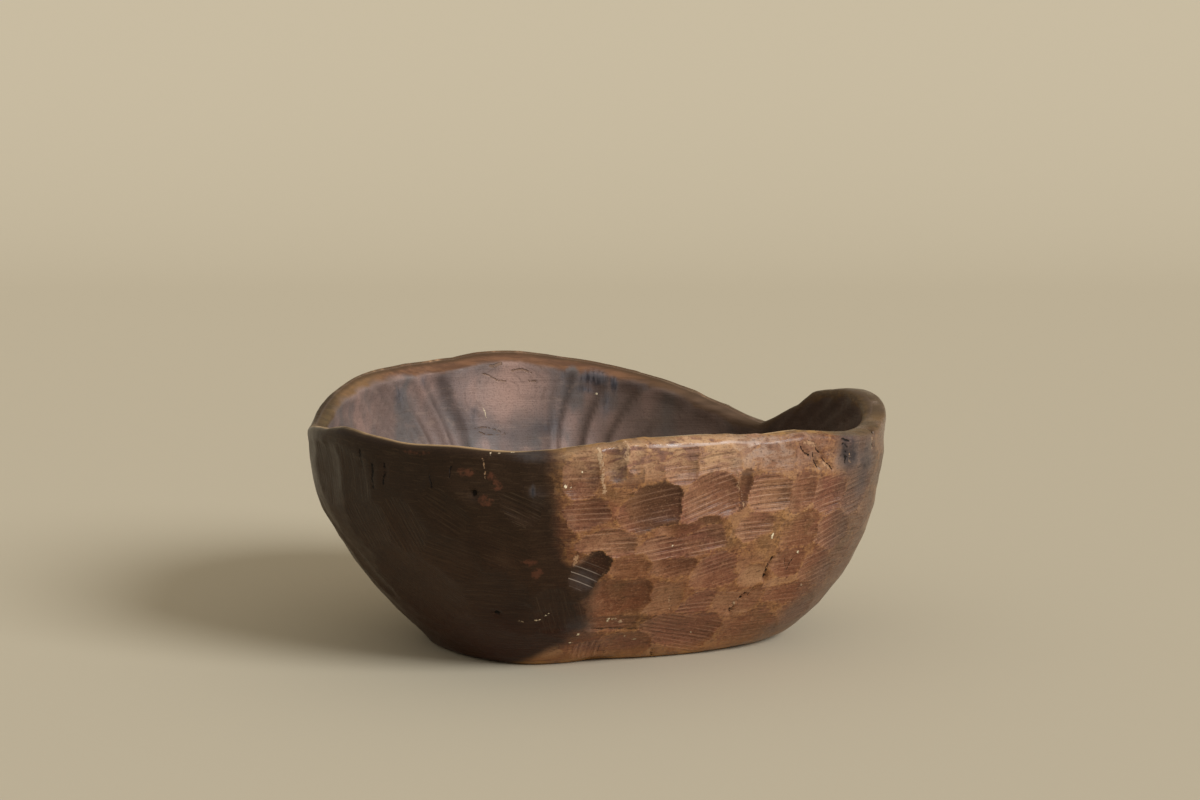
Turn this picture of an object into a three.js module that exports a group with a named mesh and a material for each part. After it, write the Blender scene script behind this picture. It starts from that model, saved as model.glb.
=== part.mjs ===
// A carved wooden bowl: one block of dark hardwood, hewn to a lopsided oval and hollowed by hand.
// It stands on a flat oval foot. Its walls lean out, and its rim rises to a broad crest at the back,
// falls to a low saddle beside it and rises again to a small lobe at the right-hand end.
// Lengths are in millimetres. +X is along the bowl, +Z is up, and the front is towards -Y.
// The origin is in the plane of the foot, under the middle of the bowl's outline.
import * as THREE from "three";

// Every list below goes evenly once round the bowl, anticlockwise from +X as seen from above.
// Outer edge of the rim, every 15 degrees: [distance from the axis, height of the rim's crest].
const RIM = [
  [115.6, 92.0], // right-hand end
  [113.0, 95.0], // crest of the lobe
  [109.6, 89.2],
  [104.3, 74.8], // saddle
  [99.0, 82.0],
  [95.2, 92.2],
  [94.5, 96.4], // middle of the back
  [96.6, 99.8],
  [101.0, 101.4], // highest crest
  [104.5, 99.8],
  [107.8, 98.4],
  [110.4, 95.0],
  [113.2, 86.0], // left-hand end, a shallow notch
  [113.6, 89.5],
  [111.5, 93.2],
  [106.5, 91.6],
  [102.5, 91.0], // blunt corner between the two front faces
  [97.5, 90.6],
  [91.0, 93.4], // middle of the front
  [85.8, 94.0],
  [84.5, 93.4], // the flattest of the front faces
  [87.0, 92.4],
  [97.0, 91.0],
  [111.0, 88.4],
];

// Edge of the foot, every 30 degrees: distance from the axis.
const FOOT = [73.0, 64.0, 51.5, 43.5, 47.5, 59.0, 66.5, 63.2, 56.6, 43.2, 43.8, 55.0];

// Belly of the outer wall, every 45 degrees: 1 is a straight cone, and more is rounder and steeper at the top.
const BELLY = [2.9, 2.7, 2.3, 2.2, 2.05, 2.1, 2.3, 2.5];

// Lip, every 30 degrees: [width across the rim, fall of the rim towards the inside, or outwards if negative].
const LIP = [
  [9.0, 1.0],
  [8.0, -1.0],
  [8.5, 1.5],
  [8.0, 3.0],
  [8.0, 3.0],
  [8.0, 3.5],
  [7.5, 1.0],
  [6.0, 0.0],
  [5.5, 0.0],
  [7.5, -2.0],
  [9.0, -3.0],
  [9.0, -3.0],
];

const FLOOR = 10; // thickness of the wood under the middle of the hollow
const HOLLOW = 2.35; // 2 is an elliptical hollow, and more has a flatter floor and steeper sides
const FOOT_EASE = 1.2; // worn corner where the foot meets the wall
const LIP_EASE = 2.2; // worn corners of the rim
const LIP_CROWN = 0.4; // swell in the middle of the rim

const COLUMNS = 120;
const WALL_ROWS = 20;
const HOLLOW_ROWS = 14;

// A smooth closed line through evenly spaced values or pairs of values. It takes a share of one turn.
function around(stations) {
  const points = stations.map((station) => {
    const [first, second = 0] = [station].flat();
    return new THREE.Vector3(first, second, 0);
  });
  const line = new THREE.CatmullRomCurve3(points, true, "catmullrom", 0.5);
  return (turn) => line.getPoint(turn);
}

const rimAt = around(RIM);
const footAt = around(FOOT);
const bellyAt = around(BELLY);
const lipAt = around(LIP);

// The outer wall, from just above the foot to just under the rim, as [distance from the axis, height].
function outerWall(foot, rim, top, belly) {
  return Array.from({ length: WALL_ROWS }, (_, row) => {
    const share = (row + 1) / WALL_ROWS;
    return [foot + (rim - foot) * (1 - (1 - share) ** belly), FOOT_EASE + (top - FOOT_EASE) * share];
  });
}

// The rim's top, from its outer corner to its inner corner, both rounded by wear.
function lip(rim, outerTop, width, innerTop) {
  const corner = LIP_EASE / 4;
  return [
    [rim - corner, outerTop - corner],
    [rim - LIP_EASE, outerTop],
    [rim - width / 2, (outerTop + innerTop) / 2 + LIP_CROWN],
    [rim - width + LIP_EASE, innerTop],
    [rim - width + corner, innerTop - corner],
  ];
}

// The hollow, from just under the rim down to the middle of its floor: a quarter of a superellipse.
function hollow(mouth, top) {
  return Array.from({ length: HOLLOW_ROWS + 1 }, (_, row) => {
    const angle = (Math.PI / 2) * (1 - row / HOLLOW_ROWS);
    const out = Math.sin(angle) ** (2 / HOLLOW);
    const up = 1 - Math.max(0, Math.cos(angle)) ** (2 / HOLLOW);
    return [mouth * out, FLOOR + (top - FLOOR) * up];
  });
}

// Half a section of the bowl at one place round it, from the middle of the foot to the middle of the floor.
function section(turn) {
  const { x: rim, y: crest } = rimAt(turn);
  const { x: width, y: fall } = lipAt(turn);
  const foot = footAt(turn).x;
  const outerTop = crest + Math.min(0, fall);
  const innerTop = crest - Math.max(0, fall);
  return [
    [0, 0],
    [foot - FOOT_EASE, 0],
    [foot - FOOT_EASE / 4, FOOT_EASE / 4],
    ...outerWall(foot, rim, outerTop - LIP_EASE, bellyAt(turn).x),
    ...lip(rim, outerTop, width, innerTop),
    ...hollow(rim - width, innerTop - LIP_EASE),
  ];
}

// The bowl is turned round like a lathe blank, and then each column is hewn to its own section.
function bowlGeometry() {
  const blank = section(0).map(([out, up]) => new THREE.Vector2(out, up));
  const geometry = new THREE.LatheGeometry(blank, COLUMNS);
  const place = geometry.getAttribute("position");
  for (let column = 0; column <= COLUMNS; column++) {
    const turn = (column % COLUMNS) / COLUMNS;
    const angle = turn * 2 * Math.PI;
    section(turn).forEach(([out, up], row) => {
      place.setXYZ(column * blank.length + row, out * Math.cos(angle), out * Math.sin(angle), up);
    });
  }
  geometry.computeBoundingBox();
  const middle = geometry.boundingBox.getCenter(new THREE.Vector3());
  geometry.translate(-middle.x, -middle.y, 0);
  geometry.computeVertexNormals();
  return geometry;
}

const darkWood = new THREE.MeshStandardMaterial({ color: 0x4f3021, roughness: 0.45, metalness: 0 });

const bowl = new THREE.Mesh(bowlGeometry(), darkWood);
bowl.name = "bowl";

const part = new THREE.Group();
part.add(bowl);

export default part;
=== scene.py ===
import math

import bpy
import numpy as np
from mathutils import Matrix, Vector


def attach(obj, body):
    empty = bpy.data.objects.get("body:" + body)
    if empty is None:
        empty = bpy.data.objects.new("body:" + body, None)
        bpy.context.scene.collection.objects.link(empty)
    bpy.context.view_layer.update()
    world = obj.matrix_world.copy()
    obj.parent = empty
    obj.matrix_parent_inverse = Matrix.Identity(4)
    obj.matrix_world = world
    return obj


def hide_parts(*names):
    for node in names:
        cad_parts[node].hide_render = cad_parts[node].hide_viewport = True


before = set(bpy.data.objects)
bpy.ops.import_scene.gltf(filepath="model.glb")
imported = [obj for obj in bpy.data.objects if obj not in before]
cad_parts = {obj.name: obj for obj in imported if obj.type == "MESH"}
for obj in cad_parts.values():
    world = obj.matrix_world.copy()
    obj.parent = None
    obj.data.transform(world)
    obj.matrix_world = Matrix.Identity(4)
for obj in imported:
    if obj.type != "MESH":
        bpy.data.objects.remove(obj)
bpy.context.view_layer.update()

# The bowl is hewn from one block of close-grained dark hardwood, so it is a single piece.
# It starts here as the plain hewn shape, and every tool mark is then cut into its surface.
# The mesh is finest on the front, where the cuts are smallest.
MM = 0.001
bpy.ops.object.select_all(action="DESELECT")
bowl = bpy.data.objects.new("carved_bowl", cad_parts["bowl"].data.copy())
bpy.context.collection.objects.link(bowl)
bpy.context.view_layer.objects.active = bowl
bowl.select_set(True)
bpy.ops.mesh.customdata_custom_splitnormals_clear()
bpy.ops.object.mode_set(mode="EDIT")
bpy.ops.mesh.select_all(action="SELECT")
bpy.ops.mesh.remove_doubles(threshold=0.01 * MM)
bpy.ops.mesh.tris_convert_to_quads()
bpy.ops.object.mode_set(mode="OBJECT")
rounding = bowl.modifiers.new("rounding", "SUBSURF")
rounding.levels = rounding.render_levels = 1
bpy.ops.object.modifier_apply(modifier=rounding.name)


def read(items, name):
    """A vector of every item of a mesh, as the rows of an array."""
    values = np.empty(3 * len(items))
    items.foreach_get(name, values)
    return values.reshape(-1, 3)


def outwardness(places, normals):
    """1 where the surface faces away from the bowl's axis, and -1 where it faces the axis."""
    radius = np.hypot(places[:, 0], places[:, 1]) + 1e-6
    return (places[:, 0] * normals[:, 0] + places[:, 1] * normals[:, 1]) / radius


def refine(wanted):
    """Splits each wanted face into four."""
    bpy.context.tool_settings.mesh_select_mode = (False, False, True)
    bpy.ops.object.mode_set(mode="EDIT")
    bpy.ops.mesh.select_all(action="DESELECT")
    bpy.ops.object.mode_set(mode="OBJECT")
    bowl.data.polygons.foreach_set("select", wanted)
    bpy.ops.object.mode_set(mode="EDIT")
    bpy.ops.mesh.subdivide(number_cuts=1)
    bpy.ops.object.mode_set(mode="OBJECT")


def faces():
    """The middle of every face in mm, its normal, and how far it faces outwards."""
    centres = read(bowl.data.polygons, "center") / MM
    normals = read(bowl.data.polygons, "normal")
    return centres, normals, outwardness(centres, normals)


HOLLOW_MIDDLE = 40  # height in mm that parts the coarse bottom of the hollow from its finer upper half
FOOT_FLAT = -0.95  # upright part of a normal: below it, a face belongs to the flat of the foot
FOOT_EDGE = -0.9  # the same, with the foot's rounded edge
CLOSE_CUTS_X, CLOSE_CUTS_Y = -24, -25  # mm: the close cuts lie right of the first and in front of the second
CLOSE_CUTS_Z = 4  # mm: they lie above this height
centres, normals, facing = faces()
refine((normals[:, 2] > FOOT_FLAT) & ((facing > 0) | (centres[:, 2] > HOLLOW_MIDDLE)))
centres, normals, facing = faces()
front = (facing > 0.3) & (centres[:, 1] < CLOSE_CUTS_Y) & (centres[:, 0] > CLOSE_CUTS_X)
refine(front & (normals[:, 2] > FOOT_EDGE) & (centres[:, 2] > CLOSE_CUTS_Z))

# The outside was dressed with a wide gouge, driven mostly to the right. Each cut starts shallow,
# grows deeper and stops at a short steep end where the chip broke off. Neighbouring cuts overlap
# and leave sharp ridges between them.
# Each cut: [x, height, length, width, depth, lean in degrees, strength of its streaks, tone].
FRONT_CUTS = [
    # Under the lip.
    [-5, 82, 14, 15, 1.9, 0, 0.7, 0.1], [7, 86, 9, 12, 1.6, 0, 0.2, -0.6],
    [14, 87, 7, 10, 1.3, 0, 0.8, -0.1], [22, 84, 11, 15, 1.1, 0, 0.1, 0.1],
    [33, 83, 16, 11, 2.4, 0, 1.0, 0.3], [47, 83, 22, 10, 1.6, 4, 0.8, 0.8],
    [68, 83, 23, 11, 0.9, 0, 0.1, 0.25], [85, 82, 21, 12, 0.7, 0, 0.1, 0.1],
    # The next row down, with the two deepest cuts.
    [-3, 68, 17, 12, 1.7, 0, 0.7, -0.35], [22, 68, 29, 17, 2.6, 8, 0.6, -0.6],
    [44.5, 70.5, 26, 17, 2.8, 15, 0.8, 0.18], [55, 72, 8, 15, 1.6, -12, 0.0, -0.5],
    [66, 69, 22, 14, 2.0, 0, 1.0, 0.35], [79, 68, 12, 15, 1.3, 0, 0.7, 0.0],
    [90, 67, 18, 15, 1.5, 10, 0.9, 0.0], [101, 66, 16, 17, 1.1, 10, 0.9, -0.35],
    # The middle of the wall.
    [5.5, 55.5, 26, 11, 1.7, 0, 0.9, 0.3], [34, 53, 41, 11, 1.7, 6, 0.9, -0.15],
    [35, 59, 34, 7, 1.5, 8, 0.1, -0.4], [61, 57, 19, 11, 1.5, 0, 0.9, 0.1],
    [78, 53, 21, 15, 1.0, 0, 0.5, 0.0], [92, 51, 19, 15, 1.2, 20, 0.8, -0.3],
    # The belly, where the first cut is the darkest one.
    [-1.5, 44.5, 15, 16, 2.4, -28, 0.4, -1.0], [13, 45, 20, 15, 1.2, 0, 0.3, 0.0],
    [29, 44, 19, 11, 1.3, 10, 0.5, -0.3], [46, 40, 23, 17, 1.2, 15, 0.7, 0.0],
    [60, 36, 12, 11, 1.3, 0, 0.3, 0.6], [74, 40, 18, 13, 1.1, 0, 0.6, -0.1],
    [73, 27, 26, 13, 0.9, 0, 0.6, -0.2], [86, 37, 19, 19, 0.9, 20, 0.7, -0.2],
    # Down to the foot.
    [10, 31, 26, 21, 2.4, 5, 0.4, 0.0], [25, 29, 20, 18, 1.4, 10, 0.5, 0.3],
    [39, 26, 18, 16, 1.1, 0, 0.9, 0.0], [53, 24, 28, 16, 1.1, -8, 0.6, 0.3],
    [7, 20, 24, 12, 1.4, 0, 0.5, 0.1], [34, 13, 37, 21, 1.7, -20, 0.8, 0.0],
    [11, 9, 23, 19, 1.3, 0, 0.5, 0.1], [-2, 8, 14, 14, 1.3, 90, 1.0, 0.2],
    [58, 12, 30, 26, 0.9, 0, 0.5, 0.0], [76, 17, 20, 16, 0.8, 20, 0.5, 0.0],
    # The sooted left half, with larger cuts that lean more.
    [-103, 76, 28, 21, 1.8, 90, 0.5, -0.1], [-87, 57, 25, 24, 1.5, -75, 0.6, 0.0],
    [-72, 58, 24, 21, 1.5, -70, 0.6, 0.0], [-56, 67, 21, 15, 1.4, -30, 0.5, 0.0],
    [-26, 70, 17, 12, 1.5, -25, 0.65, 0.0], [-19, 78, 11, 8, 1.1, 0, 0.4, 0.0],
    [-14, 25, 27, 18, 1.2, -75, 0.55, 0.0], [-73, 82, 29, 15, 1.1, 0, 0.3, 0.0],
    [-46, 81, 19, 15, 1.2, 0, 0.3, 0.0], [-93, 75, 26, 20, 1.4, 90, 0.5, 0.0],
    [-67, 32, 44, 38, 1.8, -50, 0.3, 0.0], [-36, 32, 28, 28, 1.4, 0, 0.2, 0.0],
    [-35, 54, 23, 18, 1.3, -20, 0.4, 0.0], [-54, 48, 27, 20, 1.3, -15, 0.5, 0.0],
    [-93, 38, 60, 13, 1.4, -57, 0.0, 0.0],
]

STOP = 0.55  # share of a cut's half length where its steep end starts
STOP_RUN = 3.2  # length in mm of the steep end
OVERLAP = 1.25  # a cut runs this much past its visible edge, under its neighbours
FLATTEST = 0.5  # upright part of the wall's slope: where it is flatter, a cut's streaks spread apart
LEAST_PROUD = 0.25  # mm by which the block stands proud all round, before it is cut
MEAN_CUT = 0.65  # mm more where the cuts are deep, which is about their mean depth

places = read(bowl.data.vertices, "co") / MM
normals = read(bowl.data.vertex_normals, "vector")
facing = outwardness(places, normals)
bearing = np.degrees(np.arctan2(places[:, 1], places[:, 0]))
wall = np.flatnonzero((facing > 0.5) & (normals[:, 2] > FOOT_EDGE))
front_wall = wall[places[wall, 1] < 0]


def away(bearings, middle):
    """Degrees from that middle round to each bearing, from -180 to 180."""
    return (bearings - middle + 180) % 360 - 180


def cut_at(vertex, row):
    """A cut as its centre, its directions and its sizes."""
    length, width, depth, lean, streaks, tone = row
    normal = normals[vertex]
    level = np.cross((0, 0, 1), normal)
    level /= np.linalg.norm(level)
    up = np.cross(normal, level)
    turn = math.radians(lean)
    return {
        "centre": places[vertex],
        "normal": normal,
        "along": math.cos(turn) * level + math.sin(turn) * up,
        "across": math.cos(turn) * up - math.sin(turn) * level,
        # The nicks are counted by height, so that a level cut's streaks stay level round the wall.
        "nicks": math.cos(turn) * np.array((0, 0, 1 / max(up[2], FLATTEST))) - math.sin(turn) * level,
        "half_length": OVERLAP * length / 2,
        "half_width": OVERLAP * width / 2,
        "depth": depth,
        "streaks": streaks,
        "tone": tone,
    }


def on_front(x, height):
    """The vertex of the front wall that is nearest to that place as seen from the front."""
    offset = places[front_wall][:, [0, 2]] - (x, height)
    return front_wall[np.argmin(np.sum(offset**2, axis=1))]


DEGREE = 1.5  # mm round the wall for each degree of bearing, about


def on_wall(towards, height):
    """The vertex of the wall that is nearest to that bearing and height."""
    swing = np.abs(away(bearing[wall], towards))
    return wall[np.argmin((DEGREE * swing) ** 2 + (places[wall, 2] - height) ** 2)]


cuts = [cut_at(on_front(x, height), row) for x, height, *row in FRONT_CUTS]

# The same hand dressed the ends and the back in level rows, less evenly than a machine would.
# On the front and the ends these cuts are shallow and worn, and show only between the ones above.
FIRST_ROW, LAST_ROW, ROW_STEP = 9, 92, 10.5  # heights in mm
CUT_STEP = 14.5  # mm from one cut to the next in its row
LOW_REACH, MORE_REACH = 70, 38  # mm from the axis to the wall at the foot, and how much more at the last row
BACK_STARTS, BACK_ENDS = 35, 155  # bearings between which the back's cuts stay unworn
chance = np.random.default_rng(11)
for level in np.arange(FIRST_ROW, LAST_ROW, ROW_STEP):
    reach = LOW_REACH + MORE_REACH * (level / LAST_ROW) ** 0.6
    bearings = np.arange(-180, 180, math.degrees(CUT_STEP / reach))
    for towards in bearings + chance.uniform(-4, 4, len(bearings)):
        height = level + chance.uniform(-3.5, 3.5)
        length = chance.uniform(17, 27)
        width = chance.uniform(12, 17)
        depth = chance.uniform(0.9, 1.7)
        lean = chance.normal(0, 14)
        streaks = chance.uniform(0, 1)
        if not BACK_STARTS < towards < BACK_ENDS:
            depth, lean, streaks = 0.35 * depth, 0.3 * lean, 0.4 * streaks
        tone = float(np.clip(chance.normal(0, 0.35), -0.5, 0.5))
        cuts.append(cut_at(on_wall(towards, height), [length, width, depth, lean, streaks, tone]))

WANDER = [  # by which the cuts' edges stray: mm, radians for each mm, the axes they follow, and shifts
    (0.9, 0.31, [1, 2, 0], (0, 2, 4)),
    (0.45, 0.83, [2, 0, 1], (0, 0, 0)),
    (0.3, 1.9, [1, 0, 2], (1, 3, 5)),
]
CUT_SKIN = 12  # mm from a cut's own plane: what lies farther off is another part of the wall


def carve(points, directions):
    """Depth of the deepest cut at each point, of the next deepest one, and the deepest one's number."""
    wander = sum(size * np.sin(points[:, axes] * rate + shift) for size, rate, axes, shift in WANDER)
    deepest, second = np.zeros(len(points)), np.zeros(len(points))
    number = np.full(len(points), -1)
    for index, cut in enumerate(cuts):
        offset = points - cut["centre"]
        near = np.abs(offset @ cut["along"]) < 1.1 * cut["half_length"]
        near &= (directions @ cut["normal"] > 0.3) & (np.abs(offset @ cut["normal"]) < CUT_SKIN)
        near = np.flatnonzero(near & (np.abs(offset @ cut["across"]) < 1.2 * cut["half_width"]))
        offset = offset[near] + wander[near]
        along, across = offset @ cut["along"], offset @ cut["across"]
        share = 1 - (along / cut["half_length"]) ** 2 - (across / cut["half_width"]) ** 2
        share -= (np.maximum(0, along - STOP * cut["half_length"]) / STOP_RUN) ** 2
        depth = cut["depth"] * share
        better = depth > deepest[near]
        second[near] = np.where(better, deepest[near], np.maximum(second[near], depth))
        deepest[near] = np.where(better, depth, deepest[near])
        number[near[better]] = index
    return deepest, second, number


def ease(values, low, high):
    """0 up to low, 1 from high on, and smooth between them. Low may be the larger one."""
    share = np.clip((values - low) / (high - low), 0, 1)
    return share * share * (3 - 2 * share)


RIGHT_FRONT, BEHIND = -60, 95  # bearings of the middles of the two stretches with deep cuts
RIDGE = 0.16  # mm: where the two deepest cuts differ by less than about this, they meet in a ridge
deepest, second, _ = carve(places, normals)
dressed = ease(facing, 0.1, 0.6) * ease(places[:, 2], 0.5, 3)
cut_in_front = ease(np.abs(away(bearing, RIGHT_FRONT)), 50, 34)
cut_behind = ease(np.abs(away(bearing, BEHIND)), 66, 50)
proud = MEAN_CUT * np.maximum(cut_in_front, cut_behind) + LEAST_PROUD
carved = places - normals * ((deepest - proud) * dressed)[:, None]
arris = dressed * np.exp(-(deepest - second) / RIDGE) * (deepest > 0.1)

# Both ends were trimmed further by eye, which left a full flank low at the right and flatter ones elsewhere.
# Each row: [height, mm taken off at the left-hand end, and at the right-hand end].
TRIMMED = [
    [0, 0.3, -1.6], [6, 0.35, -2.7], [11, 0.5, -2.5], [16, 0.9, -1.7], [21, 0.7, -1.1], [26, 0.8, -0.7],
    [31, 0.8, 0.0], [36, 1.0, 0.3], [41, 1.2, 0.4], [46, 1.0, 0.7], [51, 0.4, 0.8], [56, -0.1, 0.8],
    [61, -0.15, 1.1], [66, 0.2, 0.8], [71, 0.4, 0.0], [76, 0.7, -0.3], [81, 0.8, 0.0], [86, 0.4, -0.3],
    [92, 0.3, -0.6], [100, 0.3, -0.6],
]
LEFT_END, RIGHT_END = 185, -3  # bearings of their middles
trim_height, left_trim, right_trim = np.array(TRIMMED, float).T
left_end = ease(np.abs(away(bearing, LEFT_END)), 50, 28)
right_end = ease(np.abs(bearing - RIGHT_END), 40, 20)
trim = left_end * np.interp(places[:, 2], trim_height, left_trim)
trim += right_end * np.interp(places[:, 2], trim_height, right_trim)
outwards = places * (1, 1, 0) / np.hypot(places[:, 0], places[:, 1])[:, None].clip(1)
carved -= outwards * (trim * ease(facing, 0.0, 0.5) * ease(places[:, 2], 0.3, 4))[:, None]

# A chip is missing from the middle of the foot's front edge, so the bowl doesn't touch the table there.
CHIP_HEIGHT = 1.1  # mm
CHIP_REACH = 7  # mm to each side
chip = CHIP_HEIGHT * np.exp(-((places[:, 0] / CHIP_REACH) ** 2)) * (places[:, 1] < 0)
carved[:, 2] += chip * ease(facing, 0.1, 0.4) * ease(places[:, 2], 4, 1)

# Each face takes its streaks from the cut that made it: the way along that cut, and across it from one
# nick of the gouge's edge to the next.
CUT_SHIFT = 3.7  # noise units from one cut to the next, so that no two have the same streaks
face_centres, face_normals, _ = faces()
face_number = carve(face_centres, face_normals)[2]
corner_vertex = np.empty(len(bowl.data.loops), int)
bowl.data.loops.foreach_get("vertex_index", corner_vertex)
corner_count = np.empty(len(bowl.data.polygons), int)
bowl.data.polygons.foreach_get("loop_total", corner_count)
corner_cut = np.repeat(face_number, corner_count)
was_cut = corner_cut >= 0


def of_cut(name):
    """One value of the cut that each face corner lies in."""
    return np.array([cut[name] for cut in cuts])[corner_cut]


offset = places[corner_vertex] - of_cut("centre")
along = np.einsum("ij,ij->i", offset, of_cut("along"))
across = np.einsum("ij,ij->i", offset, of_cut("across"))
to_nick = np.einsum("ij,ij->i", carved[corner_vertex] - of_cut("centre"), of_cut("nicks"))
streak_map = np.stack([along, to_nick, corner_cut * CUT_SHIFT], axis=1)
cut_map = np.stack([along / of_cut("half_length"), across / of_cut("half_width"), of_cut("tone")], axis=1)
cut_map *= was_cut[:, None]
streaks = of_cut("streaks") * was_cut

# The hollow was scooped from the rim down to the middle with a bent gouge, which left long flutes.
# They lean towards the broad back, and each starts with a rounded top a little under the rim.
# Each flute: [bearing of its right-hand edge, relative depth]. It runs to the next one's edge.
FLUTES = [
    [-12, 0.9], [-3, 1.1], [6, 1.2], [14, 1.3], [22, 1.1], [30, 1.0], [38, 0.9], [48, 1.2], [60, 1.7],
    [73, 2.0], [83.5, 2.1], [94.3, 1.2], [98, 0.9], [132.5, 1.7], [141.5, 1.4], [150.4, 1.2], [157, 1.1],
    [164, 0.9], [176, 0.9], [190, 1.1], [200, 1.0], [211, 1.1], [221, 1.2], [232, 1.0],
    [243, 1.2], [254, 1.0], [265, 1.2], [276, 1.0], [287, 1.1], [298, 1.2], [309, 1.0], [320, 1.1],
    [331, 1.0], [340, 1.0],
]
BACK = 113  # bearing of the broad back, towards which the flutes lean
LEAN = 0.011  # share of the way to the back by which a flute leans, for each mm below the rim
LEAN_END = 32  # mm below the rim: from about there down, the flutes run straight to the middle
FLUTING = 1.25  # mm: depth of a flute of relative depth 1
MOUTH = 92  # mm from the axis, where a flute has that depth: nearer the axis it is shallower
FLUTE_TOP = 2.9  # mm below the rim, where the middle of a flute's rounded top lies
TOP_ROUND = 1.6  # mm by which the top's two sides lie lower
TOP_STRAY = 0.7  # mm by which one flute may start higher or lower than another
WORN_TOPS = 160  # bearing round which use has worn the tops more level

CREST_STEP = 2  # degrees from one place where the hewn crest's height is read to the next
crest_bins = np.arange(-180, 180, CREST_STEP)
nearest_bin = np.round((bearing + 180) / CREST_STEP).astype(int) % len(crest_bins)
crest_heights = np.zeros(len(crest_bins))
np.maximum.at(crest_heights, nearest_bin, places[:, 2])
crest = np.interp(bearing, crest_bins, crest_heights, period=360)
below_rim = crest - places[:, 2]

from_back = away(bearing, BACK)
lean_reach = below_rim / (1 + (below_rim.clip(0) / LEAN_END) ** 6) ** (1 / 6)
lean = LEAN * ease(np.abs(from_back), 150, 80) * lean_reach
flute_bearing = (BACK + from_back / (1 - lean) + 12) % 360 - 12
edges = np.array([edge for edge, _ in FLUTES] + [FLUTES[0][0] + 360], float)
depths = np.array([depth for _, depth in FLUTES])
flute = np.clip(np.searchsorted(edges, flute_bearing, side="right") - 1, 0, len(FLUTES) - 1)
swing = 2 * (flute_bearing - edges[flute]) / (edges[flute + 1] - edges[flute]) - 1
worn_tops = np.exp(-(((flute_bearing - WORN_TOPS) / 22) ** 2))
uneven = TOP_ROUND * swing**2 + TOP_STRAY * np.sin(flute * 2.1)
top = FLUTE_TOP + (1 - 0.65 * worn_tops) * uneven - 0.6 * worn_tops
# The hollow is all that faces the axis, and its floor, which faces up.
hollow_floor = ease(normals[:, 2], 0.3, 0.6) * ease(below_rim, 10, 18)
inside = np.maximum(ease(facing, -0.1, -0.4), hollow_floor)
flute_depth = FLUTING * depths[flute] * (1 - swing**2) * ease(below_rim, top - 1, top + 8)
flute_depth *= inside * ease(places[:, 2], 16, 34) * (np.hypot(places[:, 0], places[:, 1]) / MOUTH) ** 2
carved -= normals * flute_depth[:, None]
# A plain band is left between the rim's crest and the flutes. In each flute, the edge that is farther from
# the back is painted darker as shade.
band = ease(below_rim, top + 2.5, top - 1.5)
outer_edge = np.where(flute_bearing > BACK, edges[flute + 1] - flute_bearing, flute_bearing - edges[flute])
painted_flute_shade = ease(outer_edge, 0.0, 1.3) * ease(outer_edge, 4.2, 1.8) * ease(depths[flute], 0.5, 1.5)
painted_flute_shade *= ease(below_rim, top, top + 5)

# The rim is worn smooth, with a slow waviness where the hand took off a little more or less.
# The saddle is a sharp notch between the back and the small lobe.
SADDLE = 44.5  # bearing of the notch
NOTCH = 1.8  # how much deeper than the hewn saddle it is, in mm
SHOULDER = 0.8  # mm by which the rim swells on both sides of the notch
RISE = [  # bearing, and how many mm the worn rim stands above the hewn one
    [-170, 0.6], [-165, 0.2], [-157, -0.5], [-150, 0.9], [-143, 0.4], [-138, 1.2], [-125, 1.2],
    [-111, 1.2], [-97, 0.6], [-91, 0.6], [-86, 0.2], [-81, -0.2], [-75, 0.0], [-67, 0.4], [-59, 0.5],
    [-52, 0.2], [-47, -0.5], [-41, -1.0], [-37, -0.6], [-32, 0.4], [-26, 0.7], [-18, 0.2], [-10, 0.3],
    [0, 0.9], [10, 0.8], [16, 0.65], [22, 0.2], [28.5, 0.8], [33.5, -2.1], [38, -1.0], [44, 0.0],
    [52, 0.6], [58, 1.3], [63, 1.5], [68, 0.2], [75, -0.9], [82, -1.2], [88, -0.9], [95, 0.1],
    [103, 0.9], [110, 0.9], [116, 0.5], [121, 0.0], [127, -1.5], [134, -0.9], [140, 0.4], [148, 0.5],
    [157, 0.2], [164, -0.6], [170, -0.2], [175, 0.9], [180, 1.3], [185, 1.0],
]
RIPPLES = [[0.4, 9, 40], [0.25, 17, 10]]  # height in mm, number round the rim, and turn in degrees
wave = np.interp(bearing, *np.array(RISE, float).T, period=360)
for height, count, turn in RIPPLES:
    wave += height * np.sin(np.radians(bearing * count + turn))
from_notch = np.abs(bearing - SADDLE)
wave -= NOTCH * np.exp(-from_notch / 3.0)
wave += SHOULDER * np.exp(-(((from_notch - 9) / 5) ** 2))
carved[:, 2] += wave * ease(below_rim, 14, 0)

# At the right of the front, the lip's outer edge was left full and catches the light as one thin line.
FULL_MIDDLE = -58  # bearing of that edge's middle
FULL_EDGE = 1.5  # mm by which that edge stands higher
LIP_EDGE = [  # x, and how many mm below the crest the lip turns down into the wall
    [17, 3.7], [26, 4.1], [34, 4.3], [43, 4.2], [49, 3.7], [60, 3.7], [66, 4.3], [70, 5.0],
]
from_lip = below_rim - np.interp(places[:, 0], *np.array(LIP_EDGE, float).T)
full = ease(np.abs(bearing - FULL_MIDDLE), 44, 26) * ease(facing, 0.0, 0.35)
carved[:, 2] += FULL_EDGE * full * ease(from_lip, -3.8, -2.4) * ease(from_lip, 5, 0)

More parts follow.
